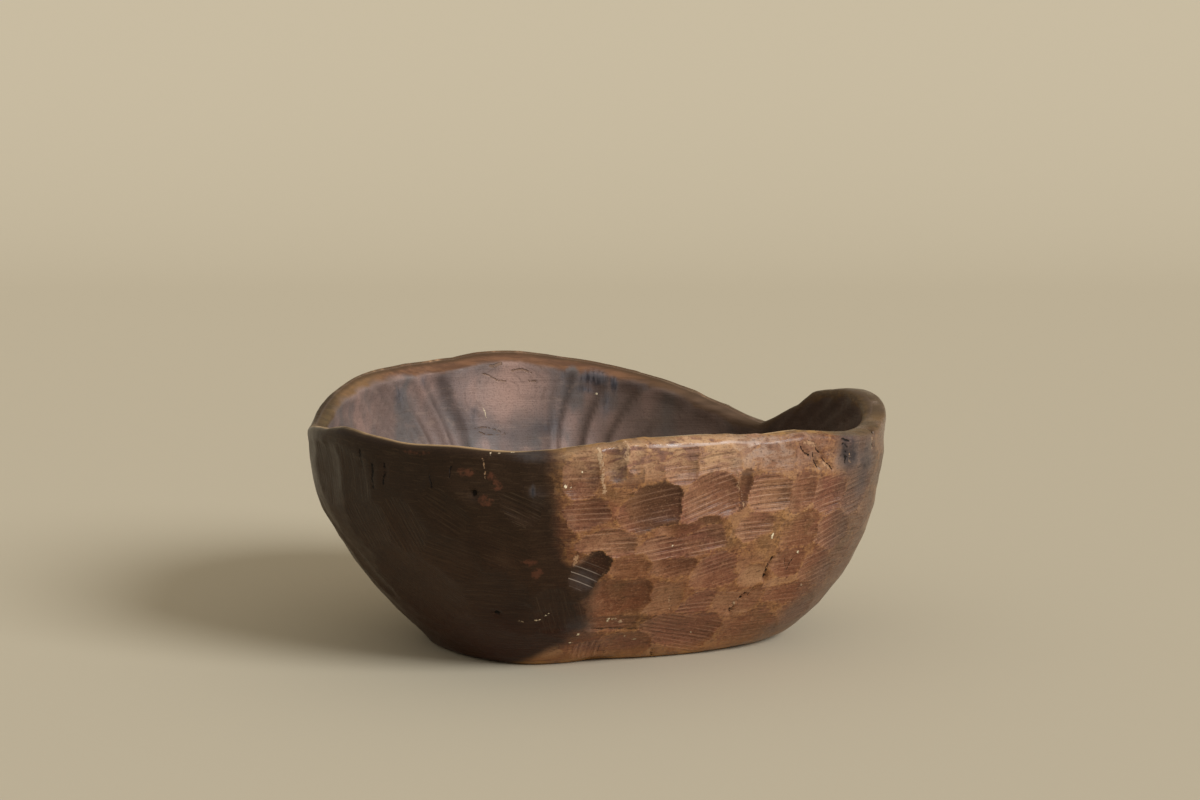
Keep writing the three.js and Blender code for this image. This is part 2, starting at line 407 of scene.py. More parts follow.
# Drying cracks, worm holes, torn fibres where chips broke off, and cream specks of old filler.
# Each mark: the places along it in mm, its half width, its depth, and its paleness: 0 is a dark gap.
# A mark with a depth below 0 stands proud.
MARKS = [
    # Cracks and torn fibres by the knot at the right.
    ([(77, -52, 85), (79, -51, 83.2), (81, -50, 81.8)], 0.22, 0.6, 0),
    ([(82.6, -49, 82.4), (83, -48.6, 80), (84.3, -47.7, 77.5)], 0.28, 0.8, 0),
    ([(83.8, -48, 83.8), (87, -46, 79.8), (88.7, -44.7, 77.7), (90, -43.8, 76)], 0.25, 0.7, 0),
    ([(78.5, -51.5, 85.8), (83.3, -48.4, 84.9)], 0.5, 0, 0.35),
    ([(86.6, -46.4, 79), (88.9, -44.7, 76.6)], 0.5, 0, 0.35),
    ([(93.6, -41.1, 85.7), (96.6, -38.8, 85.3)], 0.35, 0.15, 0),
    ([(93.9, -41, 84.1), (95.9, -39.4, 83.2)], 0.3, 0.1, 0),
    ([(94.8, -40.4, 82.2), (95.4, -39.8, 80), (95.2, -40, 77.8)], 0.4, 0.2, 0),
    ([(96.7, -38.7, 80.4), (96.9, -38.4, 77.8)], 0.15, 0, 0.4),
    ([(106, -24.7, 88.1), (107.1, -26, 87.2)], 0.4, 1.0, 0),
    ([(107, -27, 85.8), (107.6, -26.2, 81)], 0.3, 0.4, 0.5),
    ([(107, -26.5, 84), (107.6, -26, 81.5)], 0.25, 0.6, 0),
    # The long broken crack below it.
    ([(67, -50, 43), (65, -49, 39), (64, -47, 34)], 0.4, 0.9, 0),
    ([(72, -46, 42), (73.5, -46, 38)], 0.12, 0.2, 0),
    ([(76, -45, 41), (74, -45, 36)], 0.12, 0.2, 0),
    ([(57, -47, 28), (53, -46, 24), (51, -44, 20)], 0.4, 0.9, 0),
    ([(54.5, -47, 26), (52, -45, 22.5)], 0.4, 0, 0.5),
    ([(60, -47, 31), (58, -46, 27)], 0.15, 0.3, 0),
    # Drying cracks of the sooted half, and its two worm holes.
    ([(-89.2, -65.5, 87), (-89.4, -64.8, 80.8)], 0.3, 0.5, 0),
    ([(-84.4, -69, 82.8), (-84.3, -68, 73.4)], 0.4, 0.6, 0),
    ([(-79.7, -73, 83), (-79.9, -72, 75.4)], 0.3, 0.5, 0),
    ([(-61.5, -84.6, 81.3), (-61, -84.6, 76.7)], 0.25, 0.3, 0),
    ([(-53, -88, 85), (-54, -87, 81)], 0.15, 0.3, 0),
    ([(-45, -90.6, 75.9), (-45, -90.6, 75.2)], 0.8, 1.6, 0),
    ([(-37.9, -69.8, 25), (-37.1, -69.8, 25.2)], 0.6, 1.2, 0),
    # Torn strips, fine gaps and cream specks on the front.
    ([(1, -90, 90), (2, -90, 84)], 0.85, -0.1, 0.5),
    ([(2, -90, 83), (3, -89, 76)], 0.5, -0.1, 0.45),
    ([(11, -86, 92), (11, -86, 88)], 0.7, -0.1, 0.45),
    ([(52, -66, 80), (54, -65, 72)], 0.3, 0, 0.35),
    ([(55, -64, 71), (55, -63, 65)], 0.25, 0, 0.35),
    ([(-41.2, -92, 88.6), (-40.5, -92, 84.2), (-41, -92, 81)], 0.15, 0, 0.4),
    ([(-8.0, -83.5, 52), (-8.6, -82.6, 49.4)], 0.8, 0, 0.35),
    ([(-1.5, -61.3, 17.4), (7.6, -58, 16.6), (17.2, -54.7, 16.1)], 0.2, 0.5, 0.1),
    ([(21.3, -41.8, 4.5), (21.8, -41.5, 1.5)], 0.5, 0.5, 0.0),
    ([(-38.4, -91.3, 89.5), (-38.4, -91.3, 88.9)], 0.1, 0, 0.65),
    ([(-35.4, -91.6, 89.3), (-34.6, -91.6, 89.2)], 0.15, 0, 0.6),
    ([(-31, -91.3, 89.3), (-30, -91.3, 89.2)], 0.2, 0, 0.65),
    ([(-11, -93, 79), (-11, -93, 78.6)], 0.5, -0.2, 1),
    ([(-9, -93, 78.5), (-9, -93, 78.3)], 0.25, 0, 0.9),
    ([(-5, -92, 84), (-5, -92, 83.8)], 0.3, 0, 0.9),
    ([(67, -54, 53), (67, -54, 51.5)], 0.35, 0, 0.9),
    ([(78, -45, 44), (78, -45, 43.6)], 0.4, -0.1, 0.9),
    ([(79, -36, 29), (79, -36, 28.7)], 0.3, 0, 0.8),
    ([(-7, -61, 16), (-7, -61, 15.8)], 0.4, -0.1, 0.9),
    ([(-10, -58, 11), (-9, -58, 11)], 0.3, -0.1, 0.9),
    ([(11, -53, 13), (11, -53, 12.8)], 0.3, 0, 0.8),
    ([(14, -50, 10), (16, -50, 10)], 0.25, 0, 0.7),
    ([(-21, -70, 23), (-23, -70, 23)], 0.25, 0, 0.7),
    ([(-19, -71, 25), (-18, -71, 26)], 0.3, -0.1, 0.9),
    ([(-29, -69, 22), (-28, -69, 22)], 0.25, 0, 0.6),
    ([(4, -62, 23), (4, -62, 22)], 0.4, -0.1, 0.9),
    ([(6, -62, 22), (9, -61, 20)], 0.7, -0.1, 0.55),
    ([(29, -74, 52), (29, -74, 51.7)], 0.3, 0, 0.8),
    ([(28, -62, 30), (29, -61, 24)], 0.3, 0, 0.3),
    ([(37, -43, 11), (37, -43, 10.8)], 0.25, 0, 0.8),
    # Specks in the hollow, and the faint scar lines round the rings of the limb.
    ([(-0.4, 85.5, 83.5), (-0.2, 85.5, 83.5)], 0.5, -0.1, 1),
    ([(-33, 84, 93), (-33, 84, 92.8)], 0.4, 0, 0.9),
    ([(-51.6, 76.4, 70), (-48.6, 77.2, 70.7), (-44.8, 78.2, 70.3), (-38.5, 79.6, 67.8)], 0.25, 0.1, 0.145),
    ([(-50, 76.8, 69), (-46.4, 77.6, 67.6), (-42.6, 78.6, 67.2), (-38.5, 79.6, 67.8)], 0.25, 0.1, 0.145),
    ([(-48.6, 80, 93.4), (-44, 81.5, 91), (-41.5, 82.2, 89.8), (-38.5, 82.8, 89.6)], 0.35, 0, 0.16),
    ([(-45, 82, 96.2), (-41, 83, 96.6)], 0.8, 0, 0.155),
    ([(-36, 83.6, 93.8), (-31, 84.5, 94), (-28, 84.8, 92.6)], 0.45, 0, 0.16),
    ([(-29, 84.7, 89.4), (-25.5, 85.2, 89.2)], 0.25, 0, 0.16),
    ([(-48, 78, 80), (-46, 79, 74)], 0.12, 0, 0.7),
]
NO_MARK = -9  # half width of a mark that isn't there
MARK_REACH = 4  # mm from a mark: its faces up to there know how far they are from it
MARK_SIDE = 0.5  # mm by which a mark's groove is wider than the mark
MARK_SKIN = 3  # mm: no mark reaches deeper, so none shows on the wall's other side


def mark_segments():
    """Every straight stretch of the marks: its two ends, the surface's normal there, and its sizes."""
    starts, ends, faces_to, sizes = [], [], [], []
    for points, *size in MARKS:
        on_surface = [np.argmin(np.sum((places - point) ** 2, axis=1)) for point in points]
        outward = normals[on_surface[0]]
        lift = outward * ((places[on_surface[0]] - points[0]) @ outward)
        for index, (first, last) in enumerate(zip(points, points[1:])):
            starts.append(first + lift)
            ends.append(last + lift)
            faces_to.append(normals[on_surface[index]])
            sizes.append(size)
    return np.array(starts), np.array(ends), np.array(faces_to), np.array(sizes)


starts, ends, faces_to, sizes = mark_segments()
lengths = np.maximum(np.linalg.norm(ends - starts, axis=1), 0.05)
run = (ends - starts) / lengths[:, None]
side = np.cross(faces_to, run)
side /= np.linalg.norm(side, axis=1)[:, None]


def beside(points, segment):
    """How far each point is past the ends of its segment, and how far it is to the side."""
    offset = points - starts[segment]
    along = np.einsum("ij,ij->i", offset, run[segment])
    past = np.maximum(np.maximum(-along, along - lengths[segment]), 0)
    under = np.abs(np.einsum("ij,ij->i", offset, faces_to[segment])) - MARK_SKIN
    return np.maximum(past, under), np.einsum("ij,ij->i", offset, side[segment])


def nearest_segment(points):
    """The number of the segment nearest to each point, and its distance."""
    nearest, closest = np.zeros(len(points), int), np.full(len(points), np.inf)
    for segment in range(len(starts)):
        near = lengths[segment] + MARK_REACH + 1
        rough = np.flatnonzero(np.sum((points - starts[segment]) ** 2, axis=1) < near**2)
        distance = np.hypot(*beside(points[rough], np.full(len(rough), segment)))
        better = distance < closest[rough]
        closest[rough[better]] = distance[better]
        nearest[rough[better]] = segment
    return nearest, closest


segment, distance = nearest_segment(places)
groove = sizes[segment, 1] * np.clip(1.3 - distance / (sizes[segment, 0] + MARK_SIDE), 0, 1)
carved -= normals * groove[:, None]

face_segment, face_distance = nearest_segment(face_centres)
corner_segment = np.repeat(face_segment, corner_count)
past, aside = beside(places[corner_vertex], corner_segment)
beside_mark = np.repeat(face_distance, corner_count) < MARK_REACH
mark_map = np.stack([past, aside, np.where(beside_mark, sizes[corner_segment, 0], NO_MARK)], axis=1)
paleness = sizes[corner_segment, 2]

bowl.data.vertices.foreach_set("co", (carved * MM).ravel())
bowl.data.update()
bpy.ops.object.shade_smooth()

# The wood is stained blue-black at the knot, on the sooted half and at the back of the hollow. In other
# places its dark surface has flaked off, and redder wood shows.
# Each stain is a soft spot: [x, y, z, sideways reach, upright reach, strength].
INK = [
    # The knot.
    [95.3, -40, 82, 3.4, 6.5, 0.9], [97, -38, 81, 9, 10, 0.8], [104, -32, 78, 9, 11, 0.65],
    [104, -31, 70, 7, 11, 0.5],
    # The sooted half.
    [-4, -82, 40, 8, 6, 0.5], [-6, -64, 18, 9, 14, 0.5], [-24, -92, 89.4, 11, 3, 0.5],
    [-23, -94, 76.7, 0.9, 3.5, 0.9], [-22, -93, 75, 6, 7, 0.3],
    # The back of the hollow.
    [-82, 57, 88, 5, 8, 0.6], [-72, 66, 92, 3, 5, 0.6], [-1, 86, 90.4, 8, 3.8, 1.0],
    [-1.5, 86, 85.6, 8, 1.0, 1.15], [7.4, 86, 88, 1.8, 4.5, 1.1], [4, 86, 80, 4, 9, 0.55],
    [-60, 75, 82, 4, 9, 0.3], [-52, 77, 76, 3, 8, 0.5], [-14, 85, 91, 3, 4, 0.6],
    [18, 83, 88, 8, 4, 0.5], [-45, 78, 68.8, 6, 2.2, 0.5], [-20, 84, 70, 8, 5, 0.5],
    [-36, 80, 66, 6, 3, 0.4],
]
RED = [
    [-47.5, -90, 83, 5, 2.2, 0.9], [-38.5, -92.5, 82, 3, 2.4, 0.9], [-36.2, -93, 78.8, 3.2, 2.6, 1.0],
    [-40.3, -91, 73.2, 4.2, 3.2, 1.0], [-44, -91, 72, 2, 3, 0.5], [-66, -81, 88.6, 14, 1.8, 0.62],
    [-25, -86, 49, 4, 2.5, 1.0], [-22, -84, 44.5, 3, 4, 1.0],
]


def spots(kind):
    """The strength of one kind of stain at every vertex."""
    total = np.zeros(len(places))
    for x, y, z, sideways, upright, strength in kind:
        level = np.hypot(places[:, 0] - x, places[:, 1] - y) / sideways
        total = np.maximum(total, strength * np.exp(-(level**2) - ((places[:, 2] - z) / upright) ** 2))
    return total


# The left half of the outside is nearly black with soot and oil. In front it ends in a soft uneven edge,
# and behind, where it can't be seen, in one that leans: [height, x of the edge in front].
SOOT_EDGE = [
    [0, -30], [5, -20], [12, -6], [22, 0], [32, -1], [40, 3], [44, 1], [48, -6], [52, -9], [74, -9],
    [92, -12],
]
SOOT_BACK, HALF_HEIGHT = 150, 50  # bearing of the edge behind, at that height in mm
edge_height, edge_x = np.array(SOOT_EDGE, float).T
from_edge = np.interp(places[:, 2], edge_height, edge_x) - places[:, 0]
back_edge = SOOT_BACK + 0.3 * (places[:, 2] - HALF_HEIGHT) + 6 * np.sin(places[:, 2] * 0.13)
soot_back = ease((bearing + 360) % 360 - back_edge, -14, 14)
soot = np.where(places[:, 1] < 0, ease(from_edge, -9, 13), soot_back)

# The hollow and the rim are painted darker towards the small lobe, as the shade that falls inside it.
# Each row: [bearing, strength].
LOBE_SHADE = [
    [-180, 0.3], [-75, 0.1], [-25, 0.0], [-12, 0.5], [3, 0.8], [12, 1.0], [20, 1.0], [42, 1.0],
    [52, 0.8], [70, 0.75], [80, 0.7], [92, 0.4], [101, 0.1], [125, 0.0], [150, 0.3], [180, 0.35],
]
painted_lobe_shade = np.interp(bearing, *np.array(LOBE_SHADE, float).T)

# The end grain at the right-hand end has weathered greyer.
END_GRAIN = 8  # bearing of its middle
end_grain = ease(np.abs(bearing - END_GRAIN), 34, 27)


def keep(name, values, domain="POINT"):
    """Stores a number or a vector for every vertex or face corner, for the finish to read."""
    kind, field = ("FLOAT_VECTOR", "vector") if values.ndim == 2 else ("FLOAT", "value")
    layer = bowl.data.attributes.new(name, kind, domain)
    layer.data.foreach_set(field, values.ravel())


keep("streak_map", streak_map, "CORNER")
keep("cut_map", cut_map, "CORNER")
keep("mark_map", mark_map, "CORNER")
keep("streaks", streaks, "CORNER")
keep("paleness", paleness, "CORNER")
keep("arris", arris)
keep("cut_depth", deepest * dressed)
keep("below_rim", below_rim)
keep("from_lip", from_lip)
keep("inside", inside)
keep("band", band)
keep("painted_flute_shade", painted_flute_shade * inside)
keep("ink", spots(INK))
keep("red", spots(RED))
keep("soot", soot)
keep("painted_lobe_shade", painted_lobe_shade)
keep("end_grain", end_grain)

# The wood is oiled and darkened by long use. It is red-brown where it is rubbed, golden on its edges,
# and greyer and pinker in the hollow, where it was never stained so dark.
wood = bpy.data.materials.new("worn_dark_wood")
wood.use_nodes = True
nodes, links = wood.node_tree.nodes, wood.node_tree.links
shader = nodes["Principled BSDF"]


def plug(socket, value):
    """Sets a socket, or links another node's output to it."""
    if isinstance(value, bpy.types.NodeSocket):
        links.new(value, socket)
    else:
        socket.default_value = value


def colour(red, green, blue):
    """A colour as it is seen on a screen, from 0 to 255, in the renderer's own scale."""
    channels = [value / 255 for value in (red, green, blue)]
    return (*[value / 12.92 if value < 0.04 else ((value + 0.055) / 1.055) ** 2.4 for value in channels], 1)


def maths(operation, *values, clamp=False):
    node = nodes.new("ShaderNodeMath")
    node.operation = operation
    node.use_clamp = clamp
    for socket, value in zip(node.inputs, values):
        plug(socket, value)
    return node.outputs[0]


def times(first, *others):
    for other in others:
        first = maths("MULTIPLY", first, other)
    return first


def plus(first, *others):
    for other in others:
        first = maths("ADD", first, other)
    return first


def between(value, low, high, start=0.0, end=1.0):
    """Start up to low, end from high on, and smooth between them."""
    node = nodes.new("ShaderNodeMapRange")
    node.interpolation_type = "SMOOTHSTEP"
    for socket, number in zip(node.inputs, (value, low, high, start, end)):
        plug(socket, number)
    return node.outputs[0]


def mix(share, first, second):
    node = nodes.new("ShaderNodeMix")
    node.data_type = "RGBA"
    plug(node.inputs[0], share)
    plug(node.inputs[6], first)
    plug(node.inputs[7], second)
    return node.outputs[2]


def glaze(base, *layers):
    """Lays colours over a base, one after another. Each layer is its share, from 0 to 1, and its colour."""
    for share, tint in layers:
        base = mix(share, base, tint)
    return base


def stored(name):
    node = nodes.new("ShaderNodeAttribute")
    node.attribute_name = name
    return node.outputs["Vector"] if name.endswith("_map") else node.outputs["Fac"]


def stretch(vector, scale, shift=(0, 0, 0)):
    node = nodes.new("ShaderNodeMapping")
    plug(node.inputs["Vector"], vector)
    node.inputs["Scale"].default_value = scale
    node.inputs["Location"].default_value = shift
    return node.outputs[0]


def noise(vector, scale, detail=4.0, roughness=0.55, distortion=0.0):
    node = nodes.new("ShaderNodeTexNoise")
    for name, value in (("Vector", vector), ("Scale", scale), ("Detail", detail)):
        plug(node.inputs[name], value)
    node.inputs["Roughness"].default_value = roughness
    node.inputs["Distortion"].default_value = distortion
    return node.outputs["Fac"]


def parts(vector):
    node = nodes.new("ShaderNodeSeparateXYZ")
    plug(node.inputs[0], vector)
    return node.outputs


place = nodes.new("ShaderNodeTexCoord").outputs["Object"]
clouds = noise(place, 28, 3)
mottle = noise(place, 110, 4, 0.6)
blotch = noise(stretch(place, (150, 150, 380)), 1.0, 3, 0.55, 0.6)
stripes = noise(stretch(place, (620, 620, 60)), 1.0, 2)
grit = noise(place, 620, 3, 0.6)
speck = noise(place, 1500, 2, 0.6)
fibre = noise(stretch(place, (40, 260, 420)), 1.0, 5, 0.65)
pores = noise(stretch(place, (170, 1300, 1500)), 1.0, 2, 0.5)
place_x, place_y, height_above_foot = parts(place)
rim_drop = stored("below_rim")
inside_share = stored("inside")
lobe_shade_share = stored("painted_lobe_shade")
weathered = stored("end_grain")
cut_depth = stored("cut_depth")
soot_edge = plus(stored("soot"), times(plus(clouds, -0.5), 0.7), times(plus(mottle, -0.5), 0.5))
soot_share = between(soot_edge, 0.15, 0.85)
band_share = between(plus(stored("band"), times(plus(mottle, -0.5), 0.8)), 0.1, 0.9)

# Streaks: the nicks of the gouge's edge drew fine light and dark lines along each cut, 2.1 mm apart.
STREAK_TURN = 3.0  # radians of the lines' wave for each mm across the cut
streak_place = stored("streak_map")
wobble = noise(stretch(streak_place, (0.012, 0.14, 1.0)), 1.0, 1)
line = maths("SINE", plus(times(parts(streak_place)[1], STREAK_TURN), times(wobble, 5.0)))
broken = between(noise(stretch(streak_place, (0.07, 0.55, 1.0)), 1.0, 2), 0.4, 0.6)
strength = between(stored("streaks"), 0.25, 1.0)
light_lines = times(strength, broken, between(line, 0.55, 1.0))
dark_lines = times(strength, broken, between(line, -0.4, -0.98))
fine_lines = noise(stretch(streak_place, (0.12, 1.8, 1.0)), 1.0, 3, 0.6)

# Each cut's steep right-hand end, which faces away from the light, is painted darker as shade, and its
# shallow left-hand end, which faces the light, is painted paler as light. The darker cuts' own dark tone is
# laid mostly towards that right-hand end too, as painted shade. Both ends are plainer in the upper half of
# the wall.
cut_x, cut_y, tone = parts(stored("cut_map"))
deep = between(cut_depth, 0.3, 2.2)
high_up = between(height_above_foot, 0.03, 0.055, 0.5, 1.0)
painted_shade_end = times(between(cut_x, 0.1, 0.62), between(cut_depth, 0.5, 1.6), between(mottle, 0.3, 0.6))
painted_light_end = times(between(cut_x, -0.25, -0.7), between(mottle, 0.38, 0.62))
from_middle = plus(times(cut_x, cut_x), times(cut_y, cut_y), times(plus(mottle, -0.5), 0.8))
dark_end = between(plus(cut_x, clouds, times(tone, tone, 0.6)), 0.1, 0.8, 0.1, 1.0)
dark_tone = times(between(tone, 0.0, -1.0), dark_end)
light_tone = times(between(tone, 0.0, 0.6), between(from_middle, 0.9, 0.3))
light_tone = times(light_tone, between(mottle, 0.3, 0.65, 0.3, 1.0))

upper = times(between(rim_drop, 18, 3), between(clouds, 0.3, 0.55))
upper_pale = mix(between(place_x, 0.045, 0.06), colour(200, 163, 127), colour(180, 157, 144))
foot_edge = times(between(height_above_foot, 0.0032, 0.0008), between(mottle, 0.35, 0.6))
outside = glaze(
    mix(between(clouds, 0.35, 0.65), colour(110, 67, 44), colour(134, 91, 62)),
    # Redder low down, with olive and reddish clouds.
    (times(between(height_above_foot, 0.055, 0.02), 0.5), colour(130, 75, 46)),
    (times(between(noise(place, 45, 3), 0.5, 0.68), 0.45), colour(106, 83, 50)),
    (times(between(noise(place, 60, 3), 0.54, 0.7), 0.5), colour(130, 77, 62)),
    # Each cut's grain and tone, darker where the cut is deep, and the painted shade and light at its ends.
    # A pinkish tint where a cut's streaks are strong is partly the wood's colour and partly painted sheen.
    (times(strength, 0.3), colour(146, 98, 88)),
    (times(between(fine_lines, 0.45, 0.7), 0.5), colour(74, 44, 30)),
    (times(between(fine_lines, 0.47, 0.3), 0.3), colour(176, 130, 98)),
    (times(between(mottle, 0.5, 0.72), 0.4), colour(150, 105, 74)),
    (dark_tone, colour(44, 29, 20)),
    (light_tone, colour(168, 126, 92)),
    (times(deep, 0.3), colour(92, 53, 36)),
    # Painted shade at each cut's steep end, and painted light at its shallow end.
    (times(painted_shade_end, high_up, 0.75), colour(56, 33, 23)),
    (times(painted_light_end, high_up, 0.5), colour(166, 123, 96)),
    # Pale and greyish patches under the lip.
    (times(upper, between(blotch, 0.38, 0.58), 0.7), upper_pale),
    (times(upper, between(blotch, 0.52, 0.36), 0.5), colour(142, 116, 108)),
    # Streaks, golden ridges between the cuts, and grit.
    (times(light_lines, 0.45), colour(186, 146, 120)),
    (times(dark_lines, 0.5), colour(62, 38, 27)),
    (times(stored("arris"), between(grit, 0.42, 0.6), 0.55), colour(172, 124, 76)),
    (times(between(grit, 0.48, 0.3), 0.3), colour(62, 40, 28)),
    (times(between(grit, 0.54, 0.72), between(tone, -0.5, 0.0), 0.25), colour(180, 138, 104)),
    # The greyer end grain, with its darker lines.
    (times(weathered, between(fine_lines, 0.3, 0.65, 1.0, 0.5), 0.75), colour(96, 84, 74)),
    (times(weathered, between(fine_lines, 0.48, 0.7), 0.5), colour(58, 46, 38)),
    (times(between(speck, 0.48, 0.3), 0.35), colour(52, 32, 22)),
    (times(between(speck, 0.56, 0.74), 0.22), colour(190, 150, 116)),
    # The foot, rubbed golden along its edge.
    (times(between(height_above_foot, 0.009, 0.002), mottle), colour(146, 102, 60)),
    (times(foot_edge, 0.85), colour(174, 126, 70)),
)

sooted = glaze(
    mix(between(clouds, 0.35, 0.65), colour(47, 29, 19), colour(60, 40, 27)),
    # Duller in the upper half, redder at the foot, and browner where the soot ends.
    (times(between(height_above_foot, 0.04, 0.075), 0.6), colour(43, 31, 20)),
    (times(between(height_above_foot, 0.035, 0.005), 0.8), colour(54, 21, 8)),
    (times(between(stored("soot"), 1.0, 0.6), 0.6), colour(44, 30, 25)),
    # The same grain, specks and streaks as the rest, but fainter.
    (times(between(mottle, 0.45, 0.75), 0.35), colour(66, 47, 33)),
    (times(between(fine_lines, 0.45, 0.7), 0.4), colour(30, 20, 13)),
    (times(between(fine_lines, 0.47, 0.3), 0.3), colour(80, 64, 48)),
    (times(between(speck, 0.5, 0.3), 0.4), colour(26, 16, 10)),
    (times(light_lines, 0.45), colour(96, 80, 62)),
    (times(dark_lines, 0.45), colour(20, 13, 7)),
)
flaked = between(times(stored("red"), plus(mottle, grit, -0.5)), 0.24, 0.46)
outside = glaze(outside, (soot_share, sooted), (times(flaked, 0.75), colour(96, 58, 42)))

# A nicked edge left four thin bright scratches in the lower left of the darkest cut.
SCRATCH_TURN = 2.06  # radians of their wave for each mm across the cut, so they lie 3 mm apart
SCRATCH_START = 2.5  # radians of that wave at the cut's middle
scratch = maths("SINE", plus(times(parts(streak_place)[1], SCRATCH_TURN), SCRATCH_START))
scratch = times(between(scratch, 0.82, 1.0), between(tone, -0.75, -0.95), between(cut_x, 0.7, 0.2))
scratch = times(scratch, between(cut_y, 0.5, -0.5), between(cut_y, -0.98, -0.86), between(mottle, 0.25, 0.5))
outside = mix(times(scratch, 0.8), outside, colour(158, 142, 130))

# The hollow's tints follow its flutes, in long soft upright patches of pink and blue-grey. Its back shows
# the oval rings of a limb that grew there: a pink heart with a grey ring round it.
RING_HEART = (-0.037, 0.082, 0.086)
RING_SCALE = (750, 150, 1000)  # units a metre: the rings are wider than tall, and reach into the wall
RING_PITCH = 2.3  # radians of the fine rings' wave for each of those units
tall = noise(stretch(place, (62, 62, 24)), 1.0, 3, 0.5, 0.5)
pink = noise(stretch(place, (70, 70, 36)), 1.0, 3, 0.5)
ring_shift = [-scale * heart for scale, heart in zip(RING_SCALE, RING_HEART)]
from_heart = nodes.new("ShaderNodeVectorMath")
from_heart.operation = "LENGTH"
plug(from_heart.inputs[0], stretch(place, RING_SCALE, ring_shift))
ring = plus(from_heart.outputs["Value"], times(plus(tall, -0.5), 9.0), times(plus(mottle, -0.5), 5.0))
grey_ring = times(between(ring, 10, 18), between(ring, 27, 19))
beside_heart = between(maths("ABSOLUTE", plus(place_x, -RING_HEART[0])), 0.004, 0.013)
dark_ring = times(between(ring, 16.5, 19.5), between(ring, 24, 20.5), between(tall, 0.35, 0.6, 1.0, 0.4))
fine_rings = times(between(maths("SINE", times(ring, RING_PITCH)), 0.2, 0.9), between(ring, 23, 15))
near_floor = between(plus(height_above_foot, times(plus(clouds, -0.5), 0.03)), 0.05, 0.018)
hollow = glaze(
    mix(between(tall, 0.38, 0.64), colour(130, 109, 102), colour(108, 101, 99)),
    (times(between(pink, 0.46, 0.66), 0.75), colour(164, 133, 122)),
    # The limb's heart, and the rings round it.
    (times(between(ring, 20, 3), 0.75), colour(186, 151, 137)),
    (times(grey_ring, 0.4), colour(104, 95, 94)),
    (times(dark_ring, beside_heart, 0.65), colour(76, 66, 64)),
    (times(fine_rings, between(mottle, 0.4, 0.65), 0.3), colour(104, 84, 76)),
    # Painted shade along one side of each flute, darker fibres, and pale rubbed spots.
    (times(stored("painted_flute_shade"), between(tall, 0.3, 0.6, 0.75, 0.35)), colour(72, 62, 60)),
    (times(between(fibre, 0.45, 0.75), 0.3), colour(98, 80, 70)),
    (times(between(blotch, 0.54, 0.75), 0.3), colour(160, 136, 122)),
    # The dark floor, and painted shade on the side towards the small lobe.
    (times(near_floor, 0.6), mix(grit, colour(70, 54, 46), colour(100, 80, 68))),
    (
        times(lobe_shade_share, between(height_above_foot, 0.015, 0.05, 0.3, 0.85)),
        mix(tall, colour(60, 46, 33), colour(84, 66, 52)),
    ),
    (times(between(speck, 0.5, 0.32), 0.3), colour(70, 56, 50)),
)
wood_colour = mix(inside_share, outside, hollow)

# The rim is rubbed bare by hands: golden at the left and in front, red-brown behind, pinkish beyond the
# saddle, and painted darker as shade on the small lobe.
at_left = between(place_x, -0.084, -0.097)
left_tip = between(place_x, -0.102, -0.108)
right_tip = between(place_x, 0.082, 0.096)
at_front = between(place_y, 0.0, -0.03)
past_saddle = times(between(place_x, 0.02, 0.05), between(place_y, 0.0, 0.03))
grained = between(fibre, 0.35, 0.62)
back_crest = times(between(rim_drop, 1.7, 0.5), between(at_front, 0.5, 0.0), between(mottle, 0.2, 0.5))
rim_colour = glaze(
    mix(grained, colour(122, 86, 62), colour(96, 67, 49)),
    (at_left, mix(grained, colour(122, 91, 61), colour(110, 83, 57))),
    (left_tip, mix(grained, colour(92, 74, 50), colour(70, 56, 40))),
    (past_saddle, mix(grained, colour(134, 105, 88), colour(106, 82, 70))),
    (at_front, mix(between(blotch, 0.4, 0.6), colour(152, 115, 70), colour(104, 77, 50))),
    # Painted shade on the small lobe, soot on the left of the front, and the duller right tip and back
    # crest.
    (times(lobe_shade_share, between(place_x, 0.0, 0.03), 0.85), colour(70, 53, 34)),
    (times(soot_share, at_front, 0.92), colour(62, 48, 33)),
    (right_tip, mix(grained, colour(104, 78, 48), colour(78, 59, 38))),
    (times(back_crest, 0.75), colour(72, 54, 37)),
)
rubbed = times(between(plus(rim_drop, times(soot_share, 1.7)), 3.4, 0.8), between(mottle, 0.28, 0.5))
rubbed = times(rubbed, between(inside_share, 0.6, 0.2))
# A thin painted highlight runs along the front of the crest.
painted_crest_highlight = times(between(rim_drop, 0.7, 0.15), at_front, between(clouds, 0.25, 0.45))
painted_crest_highlight = times(painted_crest_highlight, between(place_x, 0.09, 0.07))
# A pale painted glint runs along the lip's outer edge at the right of the front, where the lip turns down.
painted_lip_glint = between(maths("ABSOLUTE", stored("from_lip")), 0.5, 0.15)
painted_lip_glint = times(painted_lip_glint, between(place_x, 0.016, 0.025), between(place_x, 0.075, 0.04))
painted_lip_glint = times(painted_lip_glint, at_front, between(inside_share, 0.3, 0.0), between(clouds, 0.3, 0.5, 0.5, 1.0))
wood_colour = glaze(
    wood_colour,
    (times(inside_share, band_share), rim_colour),
    (times(rubbed, 0.9), rim_colour),
    (times(painted_crest_highlight, 0.8), colour(190, 156, 116)),
    (times(painted_lip_glint, 0.5), colour(202, 184, 178)),
)

# The blue-black stains run down the hollow's back in short upright stripes, and are paler there.
ink = between(times(stored("ink"), plus(times(mottle, 1.4), times(grit, 0.8), -0.1)), 0.15, 0.95)
ink = times(ink, plus(times(inside_share, between(stripes, 0.38, 0.6, -0.25, 0.0)), 1.0))
ink_inside = mix(between(stripes, 0.62, 0.4), colour(58, 57, 62), colour(92, 93, 100))
ink_colour = mix(inside_share, mix(ink, colour(96, 90, 90), colour(42, 41, 45)), ink_inside)
wood_colour = mix(times(ink, 0.9), wood_colour, ink_colour)
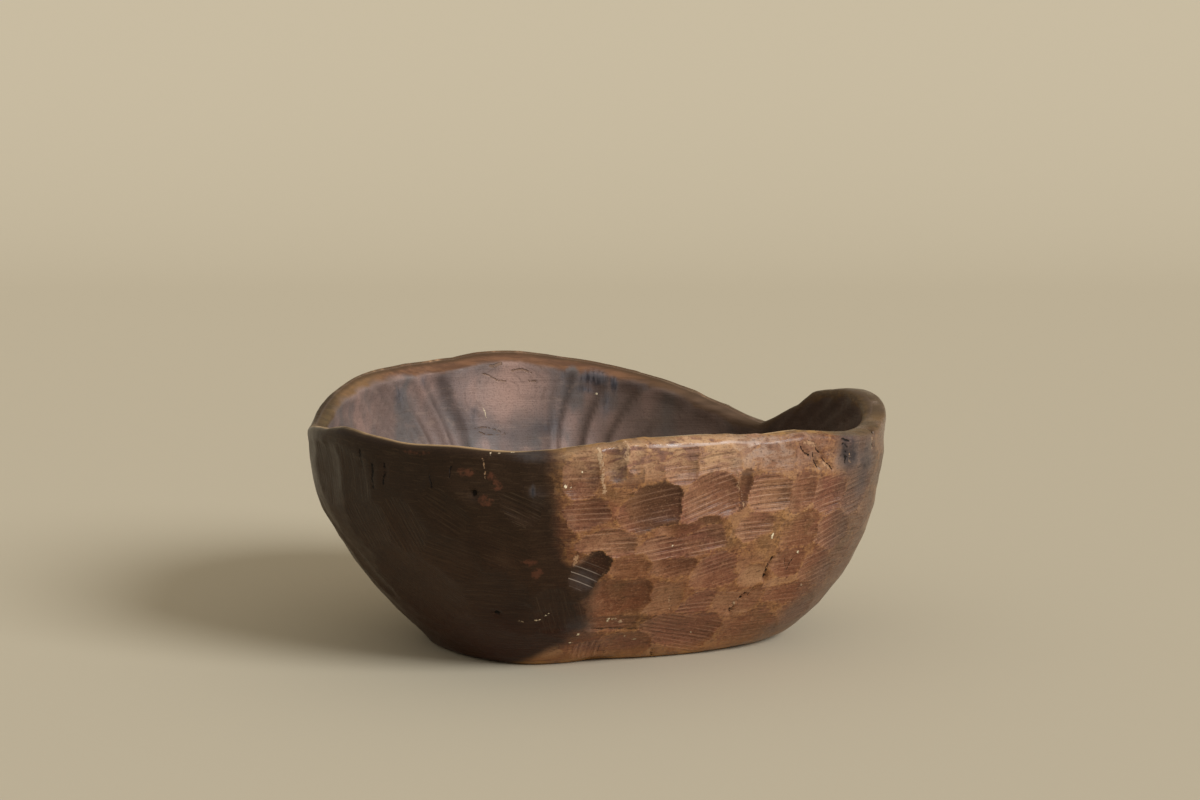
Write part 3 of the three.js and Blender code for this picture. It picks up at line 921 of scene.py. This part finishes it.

# Cracks and holes are ragged dark gaps that break off here and there; their near-black is painted shade
# inside the opening. Specks and torn fibres are cream.
past_end, to_side, half_width = parts(stored("mark_map"))
pale = stored("paleness")
torn = times(between(pale, 0.2, 0.4), between(pale, 0.7, 0.55))
crooked = plus(to_side, times(plus(noise(place, 300, 2), -0.5), 2.0))
from_mark = maths("SQRT", plus(times(past_end, past_end), times(crooked, crooked)))
fray = times(plus(noise(place, 1300, 3), -0.5), plus(times(torn, 1.6), 1.0))
gap = maths("MULTIPLY", maths("SUBTRACT", half_width, plus(from_mark, fray, -0.15)), 3.5, clamp=True)
gap = times(gap, between(noise(place, 500, 2), 0.36, 0.5))
mark_colour = mix(between(pale, 0.3, 0.9), colour(172, 134, 102), colour(232, 216, 184))
mark_colour = mix(between(pale, 0.25, 0.05), mark_colour, colour(14, 9, 6))
faint = times(between(pale, 0.12, 0.14), between(pale, 0.22, 0.18))
mark_strength = plus(times(torn, -0.2), times(faint, -0.45), 0.95)
wood_colour = mix(times(gap, mark_strength), wood_colour, mark_colour)
open_pores = times(between(pores, 0.6, 0.72), between(inside_share, 0.5, 0.0), 0.5)
wood_colour = mix(open_pores, wood_colour, colour(42, 27, 18))

# The oiled wood has a low sheen, higher on the lip, where hands have polished it. The hollow, the cracks
# and the holes are duller. Streaks, fibres, pores and cracks also raise or lower the surface a little.
RELIEF = 0.35 * MM
plug(shader.inputs["Base Color"], wood_colour)
lip_gloss = times(between(rim_drop, 9, 5), between(inside_share, 0.5, 0.0), between(soot_share, 0.5, 0.0))
lip_gloss = times(lip_gloss, between(place_x, 0.07, 0.04, 0.35, 1.0))
gloss = plus(between(mottle, 0.3, 0.7, 0.3, 0.44), times(gap, 0.3), times(inside_share, 0.12))
plug(shader.inputs["Roughness"], plus(gloss, times(lip_gloss, -0.18)))
shader.inputs["Specular IOR Level"].default_value = 0.17

relief_height = plus(times(light_lines, 0.25), times(dark_lines, -0.3), times(fibre, 0.35))
relief_height = plus(relief_height, times(pores, -0.15), times(mottle, 0.5), times(speck, 0.15))
relief_height = plus(relief_height, times(fine_lines, -0.35))
relief_height = times(relief_height, plus(times(lip_gloss, -0.9), 1.0))
relief_height = plus(relief_height, times(gap, between(pale, 0.3, 0.5, -1.0, 0.3)))
relief = nodes.new("ShaderNodeBump")
relief.inputs["Strength"].default_value = 0.9
relief.inputs["Distance"].default_value = RELIEF
plug(relief.inputs["Height"], relief_height)
plug(shader.inputs["Normal"], relief.outputs[0])
bowl.data.materials.clear()
bowl.data.materials.append(wood)

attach(bowl, "root")
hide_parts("bowl")

# A pale sweep of plain cloth is the floor and the backdrop. It is one flat sheet, whose far edge is
# pulled up, and the fold between the two is bent round.
SWEEP_COLOUR = (0.5, 0.44, 0.335, 1)
SWEEP_WIDTH, SWEEP_DEPTH, SWEEP_HEIGHT = 6, 4, 3  # metres
SWEEP_BEND = 0.9  # metres from the fold to where the bend starts
bpy.ops.object.select_all(action="DESELECT")
bpy.ops.mesh.primitive_plane_add(size=1, location=(0, 0, 0))
sweep = bpy.context.active_object
sweep.name = "sweep"
sweep.scale = (SWEEP_WIDTH, SWEEP_DEPTH, 1)
bpy.ops.object.transform_apply(location=True, rotation=True, scale=True)
bpy.ops.object.mode_set(mode="EDIT")
bpy.ops.mesh.select_all(action="DESELECT")
bpy.ops.object.mode_set(mode="OBJECT")
bpy.context.tool_settings.mesh_select_mode = (False, True, False)
for edge in sweep.data.edges:
    ends = [sweep.data.vertices[index].co for index in edge.vertices]
    edge.select = all(end.y > 0 for end in ends)
bpy.ops.object.mode_set(mode="EDIT")
bpy.ops.mesh.extrude_region_move(TRANSFORM_OT_translate={"value": (0, 0, SWEEP_HEIGHT)})
bpy.ops.object.mode_set(mode="OBJECT")
for edge in sweep.data.edges:
    ends = [sweep.data.vertices[index].co for index in edge.vertices]
    edge.select = all(end.y > 0 and end.z < SWEEP_HEIGHT / 2 for end in ends)
bpy.ops.object.mode_set(mode="EDIT")
bpy.ops.mesh.bevel(offset=SWEEP_BEND, segments=24, affect="EDGES")
bpy.ops.object.mode_set(mode="OBJECT")
bpy.ops.object.shade_smooth()
cloth = bpy.data.materials.new("pale_cloth")
cloth.use_nodes = True
cloth_shader = cloth.node_tree.nodes["Principled BSDF"]
cloth_shader.inputs["Base Color"].default_value = SWEEP_COLOUR
cloth_shader.inputs["Roughness"].default_value = 0.95
cloth_shader.inputs["Specular IOR Level"].default_value = 0.1
sweep.data.materials.append(cloth)

# A broad soft light, like that of a window, comes from the right, a little in front and above. An even
# warm fill comes from all sides.
KEY_FROM = Vector((1.35, -0.95, 1.02))
KEY_SPREAD = 26  # degrees
KEY_STRENGTH, FILL_STRENGTH = 2.9, 0.54
FILL_COLOUR = (1.0, 0.93, 0.8, 1)
key = bpy.data.lights.new("window", "SUN")
key.angle = math.radians(KEY_SPREAD)
key.energy = KEY_STRENGTH
key.color = (0.95, 0.98, 1.0)
window = bpy.data.objects.new("window", key)
bpy.context.collection.objects.link(window)
window.location = KEY_FROM
window.rotation_euler = KEY_FROM.to_track_quat("Z", "Y").to_euler()

world = bpy.data.worlds.new("room")
world.use_nodes = True
world.node_tree.nodes["Background"].inputs["Color"].default_value = FILL_COLOUR
world.node_tree.nodes["Background"].inputs["Strength"].default_value = FILL_STRENGTH
bpy.context.scene.world = world
bpy.context.scene.view_settings.view_transform = "Standard"

# The camera looks slightly down on the bowl's front from about a metre away. Its lens is a short
# telephoto one, as is usual for pictures of small things.
CAMERA_AT = (0.0015, -1.1091, 0.281)
LOOKING_DOWN = 9.5  # degrees
lens = bpy.data.cameras.new("camera")
lens.lens = 85
lens.sensor_width = 36
camera = bpy.data.objects.new("camera", lens)
bpy.context.collection.objects.link(camera)
camera.location = CAMERA_AT
camera.rotation_euler = (math.radians(90 - LOOKING_DOWN), 0, 0)
bpy.context.scene.camera = camera
